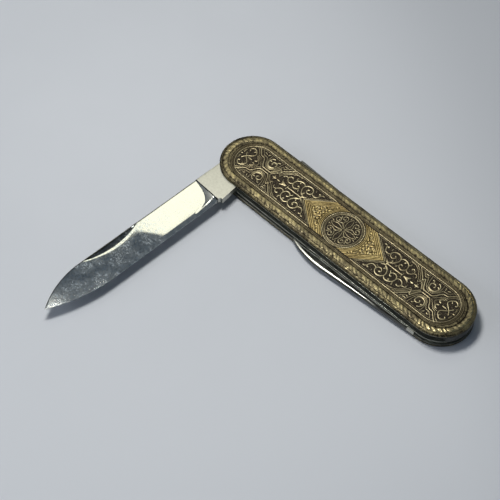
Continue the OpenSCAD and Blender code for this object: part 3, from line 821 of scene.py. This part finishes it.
def ring_band(radius, width, beads=0, crest=CREST):
    """Ring along a circle; beads make it swell and shrink around the turn."""
    angle = np.linspace(0, 2 * math.pi, 480, endpoint=False)[:, None]
    swell = 1 - 0.35 * np.abs(np.sin(angle * beads / 2)) ** 3
    offset = radius + PROFILE[None, :, 0] * width * swell
    rise = np.where(PROFILE[None, :, 1] > 0, (crest - GROUND) * swell, 0.1) * PROFILE[None, :, 1]
    points = np.stack([np.cos(angle) * offset, np.sin(angle) * offset, GROUND + rise], -1)
    hollow_and_shade = np.broadcast_to(np.clip(0.75 - PROFILE[None, :, 1], 0, 0.75), offset.shape)
    return points.reshape(-1, 3), cells(*offset.shape, wrap_rows=True, wrap_columns=True), hollow_and_shade.ravel()


points, quads = turned_grid(DISC, 120)
both_covers("medallion_disc", points, quads, ground_black, "blackened_steel", "medallion")

SPIRAL = [(0.2, 0.2, 0.16), (0.85, 0.9, 0.2), (1.5, 1.45, 0.22), (2.1, 1.5, 0.22), (2.75, 1.2, 0.2),
          (3.45, 1.2, 0.22), (3.95, 1.75, 0.22), (3.7, 2.4, 0.22), (3.05, 2.55, 0.2), (2.65, 2.15, 0.2),
          (2.85, 1.75, 0.24), (3.2, 1.85, 0.34)]
PETAL = [(0.35, 0.12, 0.12), (1.2, 0.42, 0.18), (2.2, 0.66, 0.2), (3.2, 0.6, 0.18), (4.45, 0.06, 0.14)]
CORNER_BUD = [(2.75, 2.75, 0.14), (3.05, 3.05, 0.3), (3.35, 3.35, 0.12)]
SIDE_BUD = [(3.9, 0.75, 0.14), (4.3, 0.75, 0.26), (4.6, 0.95, 0.12)]


def swapped(knots):
    """The same stroke mirrored in the diagonal."""
    return [(y, x, width) for x, y, width in knots]


second_spiral = [(1.35, 1.35, 0.16), *swapped(SPIRAL[3:])]
rosette = [SPIRAL, second_spiral, PETAL, swapped(PETAL), CORNER_BUD, SIDE_BUD, swapped(SIDE_BUD)]
rings = [ring_band(5.1, 0.2), ring_band(5.4, 0.12, crest=LOW_CREST),
         ring_band(5.78, 0.34, beads=64, crest=TALL_CREST)]
gold_lines("rosette", [([stroke_band(knots, step=0.1) for knots in rosette], FOUR_WAYS), (rings, [(1, 1)])])

# %% [markdown]
# ## The blades
# A blade is forged and ground from flat bar. The tang stays flat, and the grinding wheel leaves a curved ramp, the
# plunge, where the thin face begins. A box with bevels would mirror the room in flat pieces, so each face is a
# height over the blade's outline: a wedge from spine to edge with a faint belly and a faint twist, rolled a little
# at the edge by hand polishing; the plunge, up to a small step at the tang; a bevel along the spine of the pen
# blade; and the nail nick cut into one side. Slopes of a few hundredths decide what a mirror shows.

# %% Outline of a blade
# Lengths run along the blade from its pivot, and sides across it. The tip is where the point lies across, and
# point_spine and point_edge are the lengths of the two arcs that lead to it. A name that ends in _t is a thickness.
# The kick, cam and flat shape the tang, and belly, twist, roll and swedge are the small slopes of the faces.
MAIN = dict(length=69.4, spine=7.15, edge=2.3, tip=2.3, point_spine=15, point_edge=20,
            tang=12.6, kick=3.0, cam=6.0, flat=4.6, tang_t=1.9, spine_t=1.5,
            nick_at=43.5, nick_len=18, nick_w=1.7, plunge=7.8,
            belly=0.015, twist=0.022, roll=0.03, swedge=0.0, swedge_w=0.0)
PEN = dict(length=46, spine=5.7, edge=0.8, tip=2.6, point_spine=12.5, point_edge=15,
           tang=5, kick=1.3, cam=4.3, flat=4, tang_t=1.2, spine_t=1.2,
           nick_at=26, nick_len=12, nick_w=1.2, plunge=3,
           belly=0.02, twist=0.0, roll=0.0, swedge=0.8, swedge_w=1.05)
SHOULDER, CHOIL_R, PIVOT_HOLE, CREASE = 2.8, 0.7, 2.28, 14


def blade_lengths(b):
    """Stations along a blade, close together where the outline turns: the round end, the choil and the tip."""
    turn = np.linspace(0, math.pi / 2, 24)
    tip_turn = np.linspace(0, math.pi / 2, 40)
    tip_run = 0.8 * b["point_spine"]
    tang, foot = b["tang"], b["tang"] + b["plunge"]
    return np.concatenate([
        -b["cam"] * np.cos(turn)[:-1], np.linspace(0, SHOULDER - 0.002, 10), np.linspace(SHOULDER, tang - 0.9, 30),
        np.linspace(tang - 0.85, tang + 0.9, 36), np.linspace(tang + 1, foot + 1.5, 30),
        np.arange(foot + 1.75, b["length"] - tip_run - 0.1, 0.25), b["length"] - tip_run * np.cos(tip_turn)])


def blade_sides(b, s):
    """Where the spine side and the edge side lie at each length s: straight lines, arcs of circles and the choil.
    Also gives the edge line without tang and choil. An arc's radius is (run squared + side squared) / (2 side)."""
    spine_fall, edge_fall = b["spine"] - b["tip"], b["edge"] + b["tip"]
    spine_r = (b["point_spine"] ** 2 + spine_fall ** 2) / (2 * spine_fall)
    edge_r = (b["point_edge"] ** 2 + edge_fall ** 2) / (2 * edge_fall)
    over = np.maximum(s - (b["length"] - b["point_spine"]), 0)
    under = np.maximum(s - (b["length"] - b["point_edge"]), 0)
    spine = spine_r - b["spine"] - np.sqrt(np.maximum(spine_r ** 2 - over ** 2, 0))
    edge = b["edge"] - edge_r + np.sqrt(np.maximum(edge_r ** 2 - under ** 2, 0))
    round_end = np.minimum(np.sqrt(np.maximum(b["cam"] ** 2 - s ** 2, 0)), b["flat"])
    kick = b["kick"] * (0.75 + 0.25 * (s - b["cam"]) / max(b["tang"] - b["cam"], 0.1))
    tang_edge = np.where(s < 0, round_end, np.maximum(round_end, np.where(s > 0.8 * b["cam"], kick, 0)))
    low = np.where(s < SHOULDER, -round_end, spine)
    high = np.where(s < b["tang"], tang_edge, edge)
    notch = b["edge"] + CHOIL_R / 2 - np.sqrt(np.maximum(CHOIL_R ** 2 - (s - b["tang"]) ** 2, 0))
    return low, np.where(np.abs(s - b["tang"]) < CHOIL_R, np.minimum(high, notch), high), edge


for blade in (MAIN, PEN):
    print("blade from pivot to tip:", blade["length"], "stations:", len(blade_lengths(blade)))


# %% Thickness of a blade
EDGE_T, HONED, ROLL_W = 0.16, 0.03, 1.35
ROLL_STARTS, ROLL_ENDS, BEVEL_STARTS = (14, 21), (30, 42), (13, 24)
BEVEL_FROM, BEVEL_RUN, BEVEL_LEAST = 8, 30, 0.22


def eased(value, start, end):
    """Goes from 0 at start to 1 at end with no corners: 3 t squared minus 2 t cubed."""
    t = np.clip((value - start) / (end - start), 0, 1)
    return t * t * (3 - 2 * t)


def spine_bevel(b, s, from_spine):
    """Bevel along the spine: 1 on the spine, 0 at the bevel's width, which grows along the blade."""
    wide = b["swedge_w"] * np.clip((s - BEVEL_FROM) / BEVEL_RUN, BEVEL_LEAST, 1) ** 0.8
    return np.clip(1 - from_spine / np.maximum(wide, 0.01), 0, 1)


def ground_half(b, s, share, from_edge, honed, bevel):
    """Half the thickness of the ground face: a wedge plus half a wave of belly, less a parabola that rolls the
    edge, but never less than a shallow slope from the honed edge; then thinned by the bevel."""
    slope = (b["spine_t"] - EDGE_T) / 2 / (b["spine"] + b["edge"])
    wedge = EDGE_T / 2 + slope * from_edge + b["belly"] * np.sin(math.pi * share)
    rolled = eased(s, *ROLL_STARTS) - eased(s, *ROLL_ENDS)
    wedge = wedge - b["roll"] * rolled * np.maximum(ROLL_W - from_edge, 0) ** 2
    wedge = np.where(honed, HONED, np.maximum(wedge, HONED + 0.1 * np.minimum(from_edge, 0.4)))
    return wedge * (1 - b["swedge"] * eased(s, *BEVEL_STARTS) * bevel ** 2.6)


print("thickness at the spine:", MAIN["spine_t"], "and", PEN["spine_t"], "at the honed edge:", 2 * HONED)


# %% Plunge and nail nick
STEP_DROP, STEP_RUN = 0.15, 0.3
PLUNGE_ROUND, PLUNGE_CORNER = (0.5, 1.8), (0.78, 1)
NICK_DEPTH, NICK_RIM = 0.3, 0.35


def plunge_ramp(b, s, share):
    """The ramp at the tang: 1 at its top and 0 at its foot, which lies farther out the nearer it is to the edge."""
    reach = b["plunge"] * share ** 5 + 1.5 * share + 0.05 + 3 * eased(share, *PLUNGE_CORNER)
    return np.maximum(1 - np.maximum(s - b["tang"] - STEP_RUN, 0) / reach, 0)


def nick_bow(b, s):
    """How far the nail nick reaches below its upper line at each length: an arc over its chord."""
    half_chord = b["nick_len"] / 2
    radius = (half_chord ** 2 + b["nick_w"] ** 2) / (2 * b["nick_w"])
    beside = np.minimum(np.abs(s - b["nick_at"]), half_chord)
    return np.sqrt(radius ** 2 - beside ** 2) - (radius - b["nick_w"])


def nick_cut(b, t, bow):
    """Depth of the nick: a ramp, deepest on its upper line, that runs out where the crescent ends."""
    into = t + b["spine"] - NICK_RIM
    ramp = np.where((into > 0) & (into < bow), NICK_DEPTH * (1 - into / np.maximum(bow, 1e-6)), 0)
    return ramp * np.clip(bow / 0.5, 0, 1)


print("nail nick:", MAIN["nick_len"], "long and", round(nick_bow(MAIN, MAIN["nick_at"]), 2), "wide")


# %% Faces of a blade
TWIST_STARTS, TWIST_MORE = (30.2, 36.6), (42, 54)
LIP_W, LIP_FADES = 0.65, (66, 34)
SPINE_LINE, NICK_SHADE, SPINE_CHAMFER, LEAST_WEB = 0.3, 0.72, 0.1, 0.05
TIP_WORN, BEVEL_SATIN, RAMP_SATIN = 0.17, 0.75, 0.5


def rows_across(width):
    """Rows from spine, 0, to edge, 1: close together at the spine, beside the nick's line and at the edge."""
    rim = NICK_RIM / width
    return np.concatenate([[0, 0.013, 0.026, 0.028, 0.04, rim - 0.002, rim + 0.002],
                           np.linspace(rim + 0.01, rim + 0.2, 24), np.linspace(rim + 0.22, 0.96, 32),
                           [0.98, 0.99, 1]])[None, :]


def blade_twist(b, s, t, low, bow):
    """Height lost by the twist: past the middle the section turns about its middle line, by `twist` per millimetre
    across. The strip from the spine to a lip just below the nick keeps its slope."""
    lip = np.maximum(low, -b["spine"]) + NICK_RIM + bow + LIP_W * eased(s, *LIP_FADES)
    turned = (eased(s, *TWIST_STARTS) + 0.35 * eased(s, *TWIST_MORE)) * b["twist"]
    return turned * (np.maximum(t, lip) + (b["spine"] - b["edge"]) / 2)


def blade_grid(b):
    """Closed sections along the blade: each goes down the upper face from spine to edge and back on the lower face.
    Half the thickness is the tang's up to the step, and then the ground face plus the plunge. Also gives satin and
    the value for the finish that darkens the nail nick and paints shade in lines by the spine and the tang."""
    width = b["spine"] + b["edge"]
    s, q = blade_lengths(b), rows_across(width)
    low, high, line = (side[:, None] for side in blade_sides(b, s))
    s = s[:, None]
    t = low + (high - low) * q
    share = np.clip((t + b["spine"]) / width, 0, 1)
    from_edge = np.maximum(line - t, 0)
    bevel = spine_bevel(b, s, t - low)
    face = ground_half(b, s, share, from_edge, q == 1, bevel)
    ramp = plunge_ramp(b, s, share)
    rise = np.maximum(b["tang_t"] / 2 - STEP_DROP - face, 0) * eased(from_edge, *PLUNGE_ROUND)
    step = np.clip((s - b["tang"]) / STEP_RUN, 0, 1)
    half = b["tang_t"] / 2 * (1 - step) + (face + rise * ramp ** 1.15) * step

    bow = nick_bow(b, s)
    nick, swing = nick_cut(b, t, bow), blade_twist(b, s, t, low, bow)
    upper = np.maximum(half - swing - nick, -half - swing + LEAST_WEB)
    chamfer = np.where(q == 0, np.minimum(SPINE_CHAMFER, 0.5 * half), 0.0) * (s > 0)
    along = np.broadcast_to(s, t.shape)
    front = np.stack([along, t, upper - chamfer], -1)
    back = np.stack([along, t, -half - swing + chamfer], -1)[:, ::-1]

    satin = np.where(s < b["tang"] + 0.03, 1, TIP_WORN * eased(s, b["length"] - 9, b["length"] - 1))
    satin = np.maximum(satin, BEVEL_SATIN * np.minimum(3 * bevel, 1))
    satin = np.maximum(satin, RAMP_SATIN * eased(ramp, 0, 0.3) * eased(from_edge, 0.7, 1.5))
    # Painted shade: dark lines on the step at the tang, along the spine and on the pen blade's spine bevel.
    dark = ((step > 0) & (step < 1)) | (((t - low < SPINE_LINE) | (bevel > 0.7)) & (step > 0))
    hollow_and_shade = np.concatenate([np.maximum(NICK_SHADE * (nick > 0.01), dark), dark[:, ::-1]], 1)
    return np.concatenate([front, back], 1), {"satin": np.concatenate([satin, satin[:, ::-1]], 1), "hollow_and_shade": hollow_and_shade}


print("sections of the main blade:", blade_grid(MAIN)[0].shape[0])


# %% Pivot holes and places of the blades
MAIN_PIVOT, PEN_PIVOT = (-33.6, -2.9, 3.8), (35.7, -3.7, 1.85)


def drill(made, at, radius):
    """Drills the pivot hole through a tang with a round cutter, which is then thrown away."""
    points, quads = turned_grid([[0, -2], [radius, -2], [radius, 2], [0, 2]], 64)
    cutter = piece("cutter", points + at, quads, made.data.materials[0], "blade_steel")
    hole = made.modifiers.new("pivot_hole", "BOOLEAN")
    hole.object, hole.operation, hole.solver = cutter, "DIFFERENCE", "EXACT"
    bpy.context.view_layer.update()
    drilled = bpy.data.meshes.new_from_object(made.evaluated_get(bpy.context.evaluated_depsgraph_get()))
    made.modifiers.clear()
    made.data = drilled
    bpy.data.objects.remove(cutter)
    made.data.set_sharp_from_angle(angle=math.radians(CREASE))


def blade_piece(name, b, pivot, turn, turned_over, material):
    """Makes a blade, turns it over for the pen blade, swings it to its rest angle and carries it to its pivot."""
    points, values = blade_grid(b)
    shape = points.shape[:2]
    points = points.reshape(-1, 3) * (np.array([-1, 1, -1]) if turned_over else 1)
    c, s = math.cos(math.radians(turn)), math.sin(math.radians(turn))
    points = points @ np.array([[c, s, 0], [-s, c, 0], [0, 0, 1]]) + np.array(pivot)
    made = piece(f"{name}_ground", points, cells(*shape, wrap_columns=True), material, "blade_steel",
                 sharp=CREASE, values=values)
    drill(made, np.array(pivot), PIVOT_HOLE / 2)
    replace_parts(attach(made, name), name)
    print(made.name, "faces:", len(made.data.polygons))


blade_piece("main_blade", MAIN, MAIN_PIVOT, MAIN_TURN, False, main_steel)
blade_piece("pen_blade", PEN, PEN_PIVOT, PEN_TURN, True, pen_steel)

# %% [markdown]
# ## Table and light
# The knife lies on a pale, slightly blue table. A small lamp close above its left side makes the shadow, and a
# window on the near side lightens the rim there. The polished blade mirrors a pale panel at the far left. The room
# is dim. The lamp is close, so its light falls off quickly. The table's paint is paler away from it, which keeps
# the table even, and a little darker towards the far right, as in the photograph.

# %% Table
table_top, tree, shader, point = finish_named("table_laminate_matt")
LAMP_POOL, POOL_EDGE, DUSK_WAY, DUSK_RUN = (-74, -12, 0), (40, 150), (0.5, 1, 0), 75
paint = blend(tree, noise(tree, point, 0.05, 3), "#c4c8d0", "#c8ccd4")
# Painted light: the paint is paler away from the lamp's pool, to make up for its falloff.
away = add(tree, "ShaderNodeVectorMath", {0: point, 1: LAMP_POOL}, operation="DISTANCE").outputs["Value"]
paler = remap(tree, away, *POOL_EDGE, interpolation_type="SMOOTHSTEP")
# Painted shade: the paint darkens towards the far right.
slant = add(tree, "ShaderNodeVectorMath", {0: point, 1: DUSK_WAY}, operation="DOT_PRODUCT").outputs["Value"]
dusk = remap(tree, slant, 0, DUSK_RUN, interpolation_type="SMOOTHSTEP")
paint = blend(tree, dusk, blend(tree, paler, paint, "#dce0e8"), "#bec2ca")
plug(tree, shader, {"Base Color": paint, "Roughness": 0.7})

FLOOR_HALF, FLOOR_DROP = 4000, 0.02
square = np.array([[-1, -1, 0], [1, -1, 0], [1, 1, 0], [-1, 1, 0]]) * FLOOR_HALF - np.array([0, 0, FLOOR_DROP])
floor_mesh = bpy.data.meshes.new("table")
floor_mesh.from_pydata((square * MM).tolist(), [], [(0, 1, 2, 3)])
floor_mesh.materials.append(table_top)
floor = bpy.data.objects.new("table", floor_mesh)
bpy.context.scene.collection.objects.link(floor)
print("table finish:", table_top.name)


# %% Lamps and room
def lamp(name, low, high, height, radiance, colour):
    """Level lamp over the table. Its corners are given as slopes: low and high are x and y per unit of height, so
    they say straight away where a mirror has to point to show the lamp. Power is radiance times pi times area."""
    made = bpy.data.objects.new(name, bpy.data.lights.new(name, "AREA"))
    made.data.shape = "RECTANGLE"
    low, high = np.array(low) * height * MM, np.array(high) * height * MM
    made.data.size, made.data.size_y = high - low
    made.data.energy = radiance * math.pi * math.prod(high - low)
    made.data.color = linear(colour)[:3]
    made.location = (*(low + high) / 2, height * MM)
    bpy.context.scene.collection.objects.link(made)
    print(name, "watts:", round(made.data.energy, 2))


lamp("near_lamp", (-0.42, -0.19), (-0.16, 0.09), 250, 33, "#fffdf6")
lamp("near_window", (-2.6, -2.4), (-0.2, -0.9), 400, 1.5, "#f6f9ff")
lamp("pale_panel", (-0.8, 0.28), (-0.399, 0.95), 1000, 1.4, "#fffae0")

room = bpy.data.worlds.new("dim_room")
room.use_nodes = True
plug(room.node_tree, room.node_tree.nodes["Background"], {"Color": linear("#555d65"), "Strength": 1.0})
bpy.context.scene.world = room
